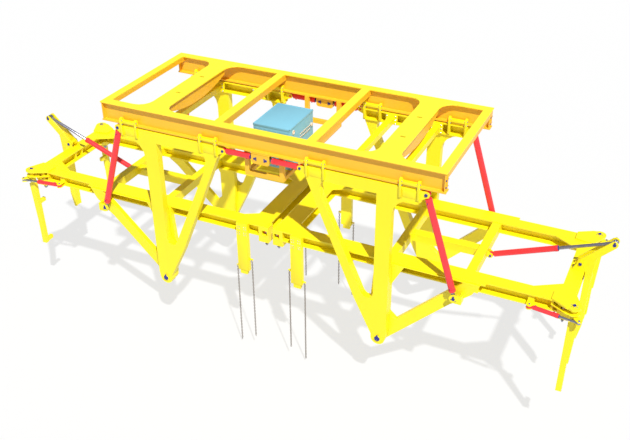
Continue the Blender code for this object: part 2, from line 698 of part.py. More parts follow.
def build_carriages(paints):
    side, shell = side_frame(), separation_barrel()
    beams = {"inner": cross_beam(CROSS_X[0]), "outer": cross_beam(CROSS_X[1])}
    for half, sx in LEFT_RIGHT.items():
        body = joint("carriage_" + half, (2.1, 0, 2.1), (sx, 1))
        for face, sy in FRONT_BACK.items():
            place(f"side_frame_{half}_{face}", side, paints["yellow"], PIVOT, (sx, sy), body)
            eye = (SEPARATION_PIN_X, SEPARATION_Y, SEPARATION_Z)
            place(f"separation_barrel_{half}_{face}", shell, paints["red"], eye, (sx, sy), body)
        for which, beam in beams.items():
            place(f"cross_beam_{half}_{which}", beam, paints["yellow"], (0, 0, 2.1), (sx, 1), body)


def build_tilt_frames(paints):
    frame = tilt_frame()
    locks = {"inner": (twistlock(LOCK_X[0]), LOCK_X[0]), "outer": (twistlock(LOCK_X[1]), LOCK_X[1])}
    chains = {name: chain(*values) for name, values in CHAINS.items()}
    upper, lower = tilt_barrel(), tilt_rod()
    for half, sx in LEFT_RIGHT.items():
        body = joint("tilt_" + half, PIVOT, (sx, 1))
        place("tilt_frame_" + half, frame, paints["yellow"], PIVOT, (sx, 1), body)
        for face, sy in FRONT_BACK.items():
            place(f"tilt_barrel_{half}_{face}", upper, paints["red"], TILT_TOP, (sx, sy))
            place(f"tilt_rod_{half}_{face}", lower, paints["steel"], TILT_FOOT, (sx, sy))
            for corner, (mesh, x) in locks.items():
                name = f"twistlock_{half}_{face}_{corner}"
                place(name, mesh, paints["steel"], (x, LOCK_Y, 0), (sx, sy), body)
            for which, mesh in chains.items():
                x, top, _ = CHAINS[which]
                name = f"chain_{half}_{face}_{which}"
                place(name, mesh, paints["chain"], (x, CHAIN_Y, top), (sx, sy), body)


def build_door_gear(paints):
    flap, lever_shell, lever_piston = lever(), lever_barrel(), lever_rod()
    arm, arm_shell, arm_piston = corner_arm(), corner_barrel(), corner_rod()
    for half, sx in LEFT_RIGHT.items():
        place("lever_" + half, flap, paints["yellow"], LEVER_PIVOT, (sx, 1))
        place("lever_barrel_" + half, lever_shell, paints["red"], LEVER_BASE, (sx, 1))
        place("lever_rod_" + half, lever_piston, paints["steel"], LEVER_HORN, (sx, 1))
        for face, sy in FRONT_BACK.items():
            place(f"corner_arm_{half}_{face}", arm, paints["yellow"], EAR, (sx, sy))
            place(f"corner_barrel_{half}_{face}", arm_shell, paints["red"], CRANK_BASE, (sx, sy))
            place(f"corner_rod_{half}_{face}", arm_piston, paints["steel"], CRANK, (sx, sy))


for leftover in list(bpy.data.objects):
    bpy.data.objects.remove(leftover)
spreader = bpy.data.collections.new("spreader_beam")
workshop = bpy.data.collections.new("workshop")
for collection in (spreader, workshop):
    bpy.context.scene.collection.children.link(collection)
workshop.hide_render = True

PAINTS = {
    "frame": paint("frame_paint", (0.90, 0.55, 0.02)),
    "yellow": paint("yellow_paint", (0.95, 0.80, 0.01)),
    "red": paint("cylinder_paint", (0.80, 0.04, 0.04), 0.35),
    "steel": paint("rod_steel", (0.45, 0.46, 0.50), 0.25, 1.0),
    "cabinet": paint("cabinet_paint", (0.30, 0.62, 0.80)),
    "chain": paint("chain_steel", (0.25, 0.23, 0.21), 0.5, 1.0),
}
build_head(PAINTS)
build_carriages(PAINTS)
build_tilt_frames(PAINTS)
build_door_gear(PAINTS)
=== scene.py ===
from math import cos, pi, radians, sin

import bmesh
import bpy
from mathutils import Matrix, Vector


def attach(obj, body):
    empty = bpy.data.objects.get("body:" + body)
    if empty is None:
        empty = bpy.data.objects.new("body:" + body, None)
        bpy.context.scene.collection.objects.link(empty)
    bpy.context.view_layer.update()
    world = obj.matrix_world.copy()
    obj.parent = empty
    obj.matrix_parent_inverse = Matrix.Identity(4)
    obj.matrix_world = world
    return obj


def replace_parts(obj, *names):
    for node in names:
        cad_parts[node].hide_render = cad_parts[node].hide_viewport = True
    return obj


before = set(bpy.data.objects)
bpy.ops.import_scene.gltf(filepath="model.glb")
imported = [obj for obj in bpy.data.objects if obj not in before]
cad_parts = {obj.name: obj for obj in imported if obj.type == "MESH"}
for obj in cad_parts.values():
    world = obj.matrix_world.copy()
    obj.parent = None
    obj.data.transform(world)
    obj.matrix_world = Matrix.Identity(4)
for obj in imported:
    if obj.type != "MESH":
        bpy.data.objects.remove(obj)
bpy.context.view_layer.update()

scene = bpy.context.scene

# Camera
# A long lens a little above the beam's right front corner, about 15 m away, as a crane driver's mate would see it.

camera_data = bpy.data.cameras.new("camera")
camera_data.lens = 49.04
camera_data.sensor_width = 36
camera_data.shift_x = -0.0075
camera_data.shift_y = 0.0118
camera_data.clip_end = 200
camera = bpy.data.objects.new("camera", camera_data)
scene.collection.objects.link(camera)
camera.location = (7.244, -14.298, 7.125)
camera.rotation_euler = (radians(90 - 32.145), radians(0.165), radians(25.014))
scene.camera = camera
scene.view_settings.view_transform = "Standard"

# Paint and steel
# Every painted part shares one group: a slow drift of tone, rain streaks, and chips that show primer, over the
# faint orange peel of sprayed paint, and on the head frame a painted highlight, a lighter yellow above a height that
# stands in for the sun on the top flange. Bare pins, rods, bolts and chains share another, with tarnish and fine
# scratches. Both work on the objects' own coordinates, in metres.


def surface_group(name, inputs):
    """An empty shader node group with its sockets, and the two nodes that carry them."""
    group = bpy.data.node_groups.new(name, "ShaderNodeTree")
    outputs = {"Colour": ("Color", None), "Roughness": ("Float", None), "Height": ("Float", None)}
    for direction, sockets in (("INPUT", inputs), ("OUTPUT", outputs)):
        for socket, (kind, value) in sockets.items():
            made = group.interface.new_socket(socket, in_out=direction, socket_type="NodeSocket" + kind)
            if value is not None:
                made.default_value = value
    return group, group.nodes.new("NodeGroupInput"), group.nodes.new("NodeGroupOutput")


def wire(tree, *pairs):
    for source, target in pairs:
        tree.links.new(source, target)


def noise(tree, place, scale, detail=3.0, stretch=(1, 1, 1)):
    """A noise texture on a place socket, stretched along the axes."""
    mapping = tree.nodes.new("ShaderNodeMapping")
    mapping.inputs["Scale"].default_value = stretch
    texture = tree.nodes.new("ShaderNodeTexNoise")
    texture.inputs["Scale"].default_value = scale
    texture.inputs["Detail"].default_value = detail
    wire(tree, (place, mapping.inputs["Vector"]), (mapping.outputs["Vector"], texture.inputs["Vector"]))
    return texture.outputs["Fac"]


def ramp(tree, value, low, high, bottom=0.0, top=1.0):
    """The value remapped from low..high to bottom..top, and held at the ends."""
    remap = tree.nodes.new("ShaderNodeMapRange")
    for socket, number in zip(("From Min", "From Max", "To Min", "To Max"), (low, high, bottom, top)):
        remap.inputs[socket].default_value = number
    wire(tree, (value, remap.inputs["Value"]))
    return remap.outputs["Result"]


def mixed(tree, factor, first, second):
    """A colour mix, where each side is a socket or a colour."""
    mix = tree.nodes.new("ShaderNodeMix")
    mix.data_type = "RGBA"
    wire(tree, (factor, mix.inputs["Factor"]))
    for socket, side in ((mix.inputs["A"], first), (mix.inputs["B"], second)):
        if isinstance(side, bpy.types.NodeSocket):
            wire(tree, (side, socket))
        else:
            socket.default_value = (*side, 1)
    return mix.outputs["Result"]


def product(tree, first, second):
    times = tree.nodes.new("ShaderNodeMath")
    times.operation = "MULTIPLY"
    wire(tree, (first, times.inputs[0]), (second, times.inputs[1]))
    return times.outputs["Value"]


PLACE = ("Vector", None)
COLOUR = ("Color", (0.5, 0.5, 0.5, 1))
NUMBER = ("Float", 0.5)

sprayed, given, made = surface_group(
    "sprayed paint",
    {"Place": PLACE, "Paint": COLOUR, "Shade": COLOUR, "Painted highlight": COLOUR, "Painted highlight height": NUMBER, "Dirt": NUMBER, "Chips": NUMBER},
)
drift = ramp(sprayed, noise(sprayed, given.outputs["Place"], 0.9), 0.35, 0.7)
streaks = ramp(sprayed, noise(sprayed, given.outputs["Place"], 9.0, 4.0, (1, 1, 0.08)), 0.52, 0.78)
grime = product(sprayed, streaks, given.outputs["Dirt"])
specks = ramp(sprayed, noise(sprayed, given.outputs["Place"], 26.0, 5.0), 0.70, 0.72)
chips = product(sprayed, specks, given.outputs["Chips"])
# Above the given height the colour turns to the painted highlight: a lighter yellow standing in for the sun on the top
# faces.
axes = sprayed.nodes.new("ShaderNodeSeparateXYZ")
above = sprayed.nodes.new("ShaderNodeMath")
above.operation = "GREATER_THAN"
wire(
    sprayed,
    (given.outputs["Place"], axes.inputs["Vector"]),
    (axes.outputs["Z"], above.inputs[0]),
    (given.outputs["Painted highlight height"], above.inputs[1]),
)
toned = mixed(sprayed, drift, given.outputs["Paint"], given.outputs["Shade"])
with_painted_highlight = mixed(sprayed, above.outputs["Value"], toned, given.outputs["Painted highlight"])
soiled = mixed(sprayed, grime, with_painted_highlight, (0.16, 0.12, 0.05))
chipped = mixed(sprayed, chips, soiled, (0.10, 0.07, 0.06))
wire(
    sprayed,
    (chipped, made.inputs["Colour"]),
    (ramp(sprayed, grime, 0.0, 1.0, 0.42, 0.8), made.inputs["Roughness"]),
    (noise(sprayed, given.outputs["Place"], 320.0, 2.0), made.inputs["Height"]),
)

brushed, given, made = surface_group(
    "worn steel", {"Place": PLACE, "Steel": COLOUR, "Tarnish": COLOUR, "Wear": NUMBER}
)
stain = product(brushed, ramp(brushed, noise(brushed, given.outputs["Place"], 7.0), 0.45, 0.75), given.outputs["Wear"])
wire(
    brushed,
    (mixed(brushed, stain, given.outputs["Steel"], given.outputs["Tarnish"]), made.inputs["Colour"]),
    (ramp(brushed, stain, 0.0, 1.0, 0.25, 0.6), made.inputs["Roughness"]),
    (noise(brushed, given.outputs["Place"], 60.0, 4.0), made.inputs["Height"]),
)


def finish(name, group, settings, bump=0.02, metallic=0.0):
    """A Principled material fed by a group on object coordinates."""
    material = bpy.data.materials.new(name)
    material.use_nodes = True
    tree = material.node_tree
    shader = tree.nodes["Principled BSDF"]
    place = tree.nodes.new("ShaderNodeTexCoord")
    surface = tree.nodes.new("ShaderNodeGroup")
    surface.node_tree = group
    for socket, value in settings.items():
        surface.inputs[socket].default_value = (*value, 1) if isinstance(value, tuple) else value
    relief = tree.nodes.new("ShaderNodeBump")
    relief.inputs["Strength"].default_value = bump
    relief.inputs["Distance"].default_value = 0.01
    wire(
        tree,
        (place.outputs["Object"], surface.inputs["Place"]),
        (surface.outputs["Colour"], shader.inputs["Base Color"]),
        (surface.outputs["Roughness"], shader.inputs["Roughness"]),
        (surface.outputs["Height"], relief.inputs["Height"]),
        (relief.outputs["Normal"], shader.inputs["Normal"]),
    )
    shader.inputs["Metallic"].default_value = metallic
    return material


def painted(name, colour, shade, dirt=0.1, chips=0.25, highlight_colour=None, height=100.0):
    """Sprayed paint, with a painted highlight above a height where a highlight colour is given: a lighter tone standing
    in for the sun on the top faces.
    """
    settings = {"Paint": colour, "Shade": shade, "Painted highlight": highlight_colour or colour, "Painted highlight height": height, "Dirt": dirt, "Chips": chips}
    return finish(name, sprayed, settings)


def bare(name, steel, tarnish, wear=0.5, bump=0.02, metallic=0.85):
    return finish(name, brushed, {"Steel": steel, "Tarnish": tarnish, "Wear": wear}, bump, metallic)


YELLOW = painted("signal yellow paint", (0.92, 0.78, 0.005), (0.89, 0.74, 0.005), 0.03, 0.05)
# The head frame's golden yellow paint, with a painted highlight: a lighter yellow on the top flange, above the given
# height, standing in for the sun on its top.
ORANGE = painted(
    "golden yellow paint with painted highlight", (0.90, 0.50, 0.022), (0.87, 0.47, 0.020), 0.03, 0.05, highlight_colour=(0.94, 0.78, 0.03), height=-0.0205
)
RED = painted("cylinder red paint", (0.95, 0.035, 0.045), (0.86, 0.028, 0.038), 0.05)
CABINET_BLUE = painted("cabinet blue paint", (0.21, 0.50, 0.62), (0.20, 0.48, 0.60), 0.04, 0.05)
PIN_BLUE = bare("blued pin steel", (0.03, 0.035, 0.28), (0.02, 0.02, 0.12), metallic=0.3)
ROD_STEEL = bare("ground rod steel", (0.36, 0.36, 0.44), (0.14, 0.14, 0.20))
BOLT_ZINC = bare("zinc plated bolts", (0.52, 0.54, 0.64), (0.26, 0.28, 0.36))
CHAIN_STEEL = bare("oiled chain steel", (0.26, 0.22, 0.19), (0.14, 0.08, 0.04), 0.8, 0.1, 0.6)
RUBBER = bare("black rubber", (0.02, 0.02, 0.022), (0.03, 0.028, 0.026), metallic=0.0)
IVORY = painted("ivory plastic", (0.80, 0.62, 0.45), (0.74, 0.56, 0.40), 0.05, 0.0)

# Chains
# Two short-link lashing chains hang from lugs on the sides of each chain arm: forged round links, each turned a
# quarter from the next, that end in a free last link. Heights in this script are measured from the roofs of the
# containers, ROOF below the origin, and each shape is drawn once, for the quadrant x > 0, y > 0.

ROOF = -2.67
HALVES = {"left": -1, "right": 1}
FACES = {"front": -1, "back": 1}
QUADRANTS = [(half, face, (sx, sy)) for half, sx in HALVES.items() for face, sy in FACES.items()]
CHAIN_WIDTH = 0.036
CHAIN_WIRE = 0.0054  # radius
CHAIN_Y = 1.29
CHAIN_DROPS = {"inner": (0.441, -0.48, 2.04), "outer": (0.799, -0.70, 2.03)}  # x, height of the first link, length
LINK_PITCH = 0.044


def piece(name, form, material, body, signs=(1, 1)):
    """An object from a form, mirrored out of its quadrant by the signs and hung on its body."""
    mesh = bpy.data.meshes.new(name)
    copy = form.copy()
    bmesh.ops.recalc_face_normals(copy, faces=copy.faces)
    bmesh.ops.translate(copy, vec=(0, 0, ROOF), verts=copy.verts)
    bmesh.ops.scale(copy, vec=(*signs, 1), verts=copy.verts)
    if signs[0] * signs[1] < 0:
        bmesh.ops.reverse_faces(copy, faces=copy.faces)
    copy.to_mesh(mesh)
    copy.free()
    mesh.shade_smooth()
    mesh.set_sharp_from_angle(angle=radians(35))
    mesh.materials.append(material)
    made_piece = bpy.data.objects.new(name, mesh)
    scene.collection.objects.link(made_piece)
    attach(made_piece, body)
    return made_piece


def stamp(form, part, at=(0, 0, 0), axis=(0, 0, 1)):
    """Adds a copy of a part to a form, with the part's Z laid along an axis and its foot at a point."""
    copy = part.copy()
    lay = Vector((0, 0, 1)).rotation_difference(Vector(axis)).to_matrix()
    bmesh.ops.rotate(copy, matrix=lay, verts=copy.verts)
    bmesh.ops.translate(copy, vec=at, verts=copy.verts)
    mesh = bpy.data.meshes.new("stamp")
    copy.to_mesh(mesh)
    copy.free()
    form.from_mesh(mesh)
    bpy.data.meshes.remove(mesh)


def chain_link(pitch):
    """One closed link, upright and centred, with its straight sides along Z."""
    link = bmesh.new()
    bend = CHAIN_WIDTH / 2 - CHAIN_WIRE
    straight = pitch + 2 * CHAIN_WIRE - 2 * bend
    verts = bmesh.ops.create_circle(link, segments=6, radius=CHAIN_WIRE)["verts"]
    bmesh.ops.translate(link, vec=(bend, 0, straight / 2), verts=verts)
    edges = list({edge for vert in verts for edge in vert.link_edges})
    for side in (1, -1):
        turn = bmesh.ops.spin(
            link, geom=verts + edges, cent=(0, 0, side * straight / 2), axis=(0, -1, 0), dvec=(0, 0, 0), angle=pi, steps=4
        )["geom_last"]
        run = bmesh.ops.extrude_edge_only(link, edges=[item for item in turn if isinstance(item, bmesh.types.BMEdge)])
        verts = [item for item in run["geom"] if isinstance(item, bmesh.types.BMVert)]
        edges = [item for item in run["geom"] if isinstance(item, bmesh.types.BMEdge)]
        bmesh.ops.translate(link, vec=(0, 0, -side * straight), verts=verts)
    bmesh.ops.remove_doubles(link, verts=link.verts, dist=1e-5)
    return link


for which, (x, top, length) in CHAIN_DROPS.items():
    count = round(length / LINK_PITCH)
    pitch = length / count
    chain = bmesh.new()
    for i in range(count):
        link = chain_link(pitch)
        bmesh.ops.rotate(link, matrix=Matrix.Rotation(radians(40 + 90 * (i % 2)), 3, "Z"), verts=link.verts)
        stamp(chain, link, (x, CHAIN_Y, top - pitch * (i + 0.5)))
        link.free()
    for half, face, signs in QUADRANTS:
        hung = piece(f"links_{half}_{face}_{which}", chain, CHAIN_STEEL, f"tilt_{half}", signs)
        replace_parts(hung, f"chain_{half}_{face}_{which}")
    chain.free()

# Hooks
# Each hook is a thick flame-cut plate with a rounded nose that grips the long beam's bottom flange. Two hexagon
# bolts through each hold the clamping block of its pair, and six more hold each cross beam's end plates.

ALONG_X, ALONG_Y, ALONG_Z = Vector((1, 0, 0)), Vector((0, 1, 0)), Vector((0, 0, 1))
HOOK_X = (0.985, 1.34, 2.86, 3.21)
CROSS_X = (1.60, 2.60)


def turned(profile, sides=20):
    """A turned shape: (distance along Z, radius) points spun a full turn."""
    shape = bmesh.new()
    verts = [shape.verts.new((radius, 0, distance)) for distance, radius in profile]
    edges = [shape.edges.new(pair) for pair in zip(verts, verts[1:])]
    bmesh.ops.spin(
        shape, geom=verts + edges, cent=(0, 0, 0), axis=(0, 0, 1), dvec=(0, 0, 0), angle=2 * pi, steps=sides, use_merge=True
    )
    bmesh.ops.remove_doubles(shape, verts=shape.verts, dist=1e-6)
    return shape


def block(form, x, y, z, soften=0.004):
    """A plate or bar between the two values of each pair, with its edges rounded off."""
    verts = bmesh.ops.create_cube(form, size=1)["verts"]
    bmesh.ops.scale(form, vec=[high - low for low, high in (x, y, z)], verts=verts)
    bmesh.ops.translate(form, vec=[(high + low) / 2 for low, high in (x, y, z)], verts=verts)
    edges = list({edge for vert in verts for edge in vert.link_edges})
    bmesh.ops.bevel(form, geom=edges, offset=soften, segments=2, profile=0.5, affect="EDGES", material=-1)


def hexagon_bolt(size):
    """A bolt head on its washer, standing on its bearing face; size is the washer's radius."""
    bolt = turned([(-0.002, size), (0.16 * size, size), (0.2 * size, 0.94 * size), (0.2 * size, 0)], 12)
    head = bmesh.ops.create_cone(bolt, cap_ends=True, segments=6, radius1=0.8 * size, radius2=0.8 * size, depth=0.6 * size)
    bmesh.ops.translate(bolt, vec=(0, 0, 0.5 * size), verts=head["verts"])
    crown = [edge for edge in bolt.edges if all(vert.co.z > 0.7 * size for vert in edge.verts)]
    bmesh.ops.bevel(bolt, geom=crown, offset=0.1 * size, segments=1, profile=0.5, affect="EDGES", material=-1)
    return bolt


def slab(form, outline, x, soften=0.003):
    """A plate across X of an outline of (y, z) points, with its edges eased."""
    shape = bmesh.new()
    face = shape.faces.new([shape.verts.new((x[0], *point)) for point in outline])
    pushed = bmesh.ops.extrude_face_region(shape, geom=[face])["geom"]
    moved = [item for item in pushed if isinstance(item, bmesh.types.BMVert)]
    bmesh.ops.translate(shape, vec=(x[1] - x[0], 0, 0), verts=moved)
    bmesh.ops.recalc_face_normals(shape, faces=shape.faces)
    bmesh.ops.bevel(shape, geom=shape.edges, offset=soften, segments=1, profile=0.5, affect="EDGES", material=-1)
    stamp(form, shape)
    shape.free()


HEAD_Y = 1.43
CLAW = (  # distance out from the beam's web, height
    (0.068, 1.988), (0.137, 2.018), (0.137, 2.338), (0.128, 2.372), (0.104, 2.397), (0.075, 2.403),
    (0.048, 2.391), (0.034, 2.362), (0.034, 2.2855), (0.0945, 2.2855), (0.0945, 2.204), (0.068, 2.204),
)  # fmt: skip
CLAW_HALF = 0.023  # half the plate's thickness
claws = bmesh.new()
for x in HOOK_X:
    for side in (1, -1):
        outline = [(HEAD_Y + side * out, height) for out, height in CLAW]
        slab(claws, outline, (x - CLAW_HALF, x + CLAW_HALF))
for half, face, signs in QUADRANTS:
    piece(f"hook_claws_{half}_{face}", claws, YELLOW, f"carriage_{half}", signs)
claws.free()

bolts = bmesh.new()
small_bolt = hexagon_bolt(0.016)
for x in HOOK_X:
    for side in (1, -1):
        face_x = x + side * CLAW_HALF
        for y, z in ((1.545, 2.345), (1.548, 2.262), (1.315, 2.345), (1.312, 2.262)):
            stamp(bolts, small_bolt, (face_x, y, z), side * ALONG_X)
for x in CROSS_X:
    for dx in (-0.098, 0.098):
        for z in (2.01, 2.095, 2.18):
            stamp(bolts, small_bolt, (x + dx, 1.2997, z), -ALONG_Y)
for half, face, signs in QUADRANTS:
    piece(f"hook_bolts_{half}_{face}", bolts, BOLT_ZINC, f"carriage_{half}", signs)
bolts.free()

# Clamping blocks
# A machined block between the two hook plates of a pair runs over the flange, and a ribbed cover plate below it
# closes the slide shoe on the outside.

clamps = bmesh.new()
for first, last in (HOOK_X[:2], HOOK_X[2:]):
    inside = (first + 0.0185, last - 0.0185)
    block(clamps, inside, (1.476, 1.549), (2.286, 2.349), 0.006)
    block(clamps, inside, (1.311, 1.384), (2.286, 2.349), 0.006)
    block(clamps, (first + 0.05, last - 0.05), (1.528, 1.538), (2.03, 2.185), 0.004)
    block(clamps, (first + 0.03, first + 0.045), (1.50, 1.545), (2.00, 2.20), 0.003)
    block(clamps, (last - 0.045, last - 0.03), (1.50, 1.545), (2.00, 2.20), 0.003)
for half, face, signs in QUADRANTS:
    piece(f"clamping_blocks_{half}_{face}", clamps, YELLOW, f"carriage_{half}", signs)
clamps.free()

# Pins
# Blued steel pins carry every pivot and cylinder. Their ends stand just proud of the lugs, chamfered, with a
# lathe centre; the heavy ones are held by a bolted keeper plate that bites into a slot.

PINS = {
    "pivot_pin": ("carriage_{half}", (2.54, 1.547, -1.383), ALONG_Y, 0.058),
    "tilt_top_pin": ("tilt_barrel_{half}_{face}", (3.343, 1.522, 2.144), ALONG_Y, 0.032),
    "tilt_foot_pin": ("tilt_{half}", (4.014, 1.51, 0.048), ALONG_Y, 0.034),
    "separation_pin": ("carriage_{half}", (0.84, 1.533, 2.135), ALONG_Y, 0.026),
    "lever_pivot_pin": ("lever_{half}", (6.03, 0.135, 0.568), ALONG_Y, 0.032),
    "lever_horn_pin": ("lever_{half}", (6.563, 0.095, 1.116), ALONG_Y, 0.034),
    "lever_base_pin": ("lever_barrel_{half}", (4.31, 0.075, 0.237), ALONG_Y, 0.024),
    "corner_pin": ("corner_arm_{half}_{face}", (6.174, 1.307, 0.452), ALONG_Z, 0.034),
    "crank_pin": ("corner_arm_{half}_{face}", (6.313, 1.458, 0.25), ALONG_Z, 0.022),
    "corner_base_pin": ("corner_barrel_{half}_{face}", (5.39, 1.329, 0.2555), ALONG_Z, 0.018),
}

for name, (body, at, axis, radius) in PINS.items():
    proud = 0.009
    end = turned(
        [
            (-0.004, radius),
            (proud - 0.003, radius),
            (proud, radius - 0.003),
            (proud, 0.45 * radius),
            (proud - 0.005, 0.38 * radius),
            (proud - 0.005, 0),
        ],
        24,
    )
    shape = bmesh.new()
    stamp(shape, end, at, axis)
    if radius > 0.033 and axis is ALONG_Y:
        x, y, z = at
        reach = radius + 0.03
        block(shape, (x - 0.016, x + 0.016), (y, y + 0.013), (z + 0.5 * radius, z + reach), 0.003)
        keeper_bolt = hexagon_bolt(0.011)
        stamp(shape, keeper_bolt, (x, y + 0.013, z + reach - 0.013), axis)
        keeper_bolt.free()
    for half, face, signs in QUADRANTS:
        where = body.format(half=half, face=face)
        piece(f"{name}_{half}_{face}", shape, PIN_BLUE, where, signs)
    end.free()
    shape.free()

# Foot and ear bolts
# Small bolts around the corner pins hold their retaining discs to the ear plates, and three more lock the pin
# in the foot of each tilt cylinder.

ears = bmesh.new()
tiny_bolt = hexagon_bolt(0.010)
for i in range(6):
    angle = radians(30 + 60 * i)
    stamp(ears, tiny_bolt, (6.174 + 0.062 * cos(angle), 1.307 + 0.062 * sin(angle), 0.44), ALONG_Z)
for dx, dz in ((-0.05, -0.025), (0.045, -0.04)):
    stamp(ears, tiny_bolt, (4.014 + dx, 1.51, 0.048 + dz), ALONG_Y)
for half, face, signs in QUADRANTS:
    piece(f"ear_bolts_{half}_{face}", ears, PIN_BLUE, f"tilt_{half}", signs)
ears.free()

# Cylinders
# Hydraulic cylinders of red barrels: a collar at the head, a screwed gland nut with its wiper around the rod,
# and two welded bosses with screwed-in unions for the hoses.

CYLINDERS = {
    # body, base, toward, length, radius, rod radius, where the ports face
    "tilt": ("tilt_barrel_{half}_{face}", (3.343, 1.45, 2.144), (4.014, 1.45, 0.048), 2.06, 0.065, 0.036, ALONG_Y),
    "separation": ("carriage_{half}", (0.84, 1.475, 2.135), (-0.16, 1.475, 2.135), 0.60, 0.058, 0.030, -ALONG_Z),
    "lever": ("lever_barrel_{half}", (4.31, 0, 0.237), (6.563, 0, 1.116), 1.35, 0.058, 0.033, ALONG_Y),
    "corner": ("corner_barrel_{half}_{face}", (5.39, 1.329, 0.2075), (6.313, 1.458, 0.2075), 0.56, 0.042, 0.022, ALONG_Z),
}

for name, (body, base, toward, length, radius, rod, up) in CYLINDERS.items():
    base, way = Vector(base), (Vector(toward) - Vector(base)).normalized()
    collar = turned(
        [
            (length - 0.055, radius - 0.001),
            (length - 0.053, radius + 0.004),
            (length - 0.004, radius + 0.004),
            (length + 0.001, radius),
            (length + 0.001, rod + 0.010),
            (length - 0.055, rod + 0.010),
        ],
        32,
    )
    nut = turned(
        [
            (length - 0.01, rod + 0.0015),
            (length - 0.01, radius - 0.008),
            (length + 0.008, radius - 0.008),
            (length + 0.012, radius - 0.013),
            (length + 0.012, rod + 0.006),
            (length + 0.018, rod + 0.0045),
            (length + 0.018, rod + 0.0015),
        ],
        32,
    )
    side = (up - way * up.dot(way)).normalized()
    boss = turned([(-0.004, 0.018), (0.012, 0.018), (0.014, 0.016), (0.014, 0)], 16)
    union = turned([(0.012, 0.011), (0.020, 0.011), (0.022, 0.009), (0.022, 0)], 6)
    shell, fitting = bmesh.new(), bmesh.new()
    stamp(shell, collar, base, way)
    stamp(fitting, nut, base, way)
    for distance in (0.16 if length > 0.7 else 0.12, length - 0.09):
        foot = base + way * distance + side * radius
        stamp(shell, boss, foot, side)
        stamp(fitting, union, foot, side)
    for half, face, signs in QUADRANTS:
        if name == "lever" and face == "back":
            continue
        kept = (signs[0], 1) if name == "lever" else signs
        where = body.format(half=half, face=face)
        piece(f"{name}_collar_{half}_{face}", shell, RED, where, kept)
        piece(f"{name}_gland_{half}_{face}", fitting, PIN_BLUE, where, kept)
    for shape in (collar, nut, boss, union, shell, fitting):
        shape.free()

# Centre brackets
# Under the middle of each long beam a pair of folded cheek plates, welded to a pad, takes the rods of the two
# separation cylinders on blued pins with keeper bars.

cheeks, pins, rods = bmesh.new(), bmesh.new(), bmesh.new()
block(cheeks, (-0.20, 0.20), (1.415, 1.535), (2.2297, 2.2497), 0.003)
for y in ((1.415, 1.435), (1.515, 1.535)):
    cheek = bmesh.new()
    verts = bmesh.ops.create_grid(cheek, x_segments=1, y_segments=1, size=0.5)["verts"]
    bmesh.ops.scale(cheek, vec=(0.39, 0.215, 1), verts=verts)
    bmesh.ops.rotate(cheek, matrix=Matrix.Rotation(radians(90), 3, "X"), verts=verts)
    bmesh.ops.translate(cheek, vec=(0, y[0], 2.1325), verts=verts)
    low = [vert for vert in cheek.verts if vert.co.z < 2.1]
    bmesh.ops.bevel(cheek, geom=low, offset=0.05, segments=5, profile=0.5, affect="VERTICES", material=-1)
    front = bmesh.ops.extrude_face_region(cheek, geom=list(cheek.faces))["geom"]
    moved = [item for item in front if isinstance(item, bmesh.types.BMVert)]
    bmesh.ops.translate(cheek, vec=(0, y[1] - y[0], 0), verts=moved)
    rim = [edge for edge in cheek.edges if abs(edge.verts[0].co.y - edge.verts[1].co.y) < 1e-6]
    bmesh.ops.bevel(cheek, geom=rim, offset=0.002, segments=1, profile=0.5, affect="EDGES", material=-1)
    stamp(cheeks, cheek)
    cheek.free()
for sign in (-1, 1):
    eye_x = sign * 0.125
    pin = turned([(0, 0), (0, 0.021), (0.003, 0.024), (0.135, 0.024), (0.138, 0.021), (0.138, 0.010), (0.133, 0.009), (0.133, 0)])
    stamp(pins, pin, (eye_x, 1.406, 2.135), ALONG_Y)
    for y in ((1.535, 1.543), (1.407, 1.415)):
        block(pins, (eye_x - sign * 0.035 - 0.011, eye_x - sign * 0.035 + 0.011), y, (2.095, 2.175), 0.002)
    eye = turned([(-0.03, 0.020), (-0.03, 0.045), (-0.025, 0.05), (0.025, 0.05), (0.03, 0.045), (0.03, 0.020)], 24)
    stamp(rods, eye, (eye_x, 1.475, 2.135), ALONG_Y)
    reach = abs(eye_x - sign * 0.70)
    rod = turned([(0.03, 0), (0.03, 0.026), (0.06, 0.03), (reach, 0.03), (reach, 0)], 24)
    stamp(rods, rod, (eye_x, 1.475, 2.135), sign * ALONG_X)
    for shape in (pin, eye, rod):
        shape.free()
for face, sy in FACES.items():
    node = f"centre_rods_{face}"
    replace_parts(piece(f"bracket_{face}", cheeks, ORANGE, "head", (1, sy)), node)
    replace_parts(piece(f"bracket_pins_{face}", pins, PIN_BLUE, "head", (1, sy)), node)
    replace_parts(piece(f"bracket_rods_{face}", rods, ROD_STEEL, "head", (1, sy)), node)
for shape in (cheeks, pins, rods):
    shape.free()

# Control cabinet
# A folded sheet-steel cabinet with a rimmed lid, a row of pressed louvres under it at the front, two doors on
# the left, and on the right a round socket and the rows of cable connectors.

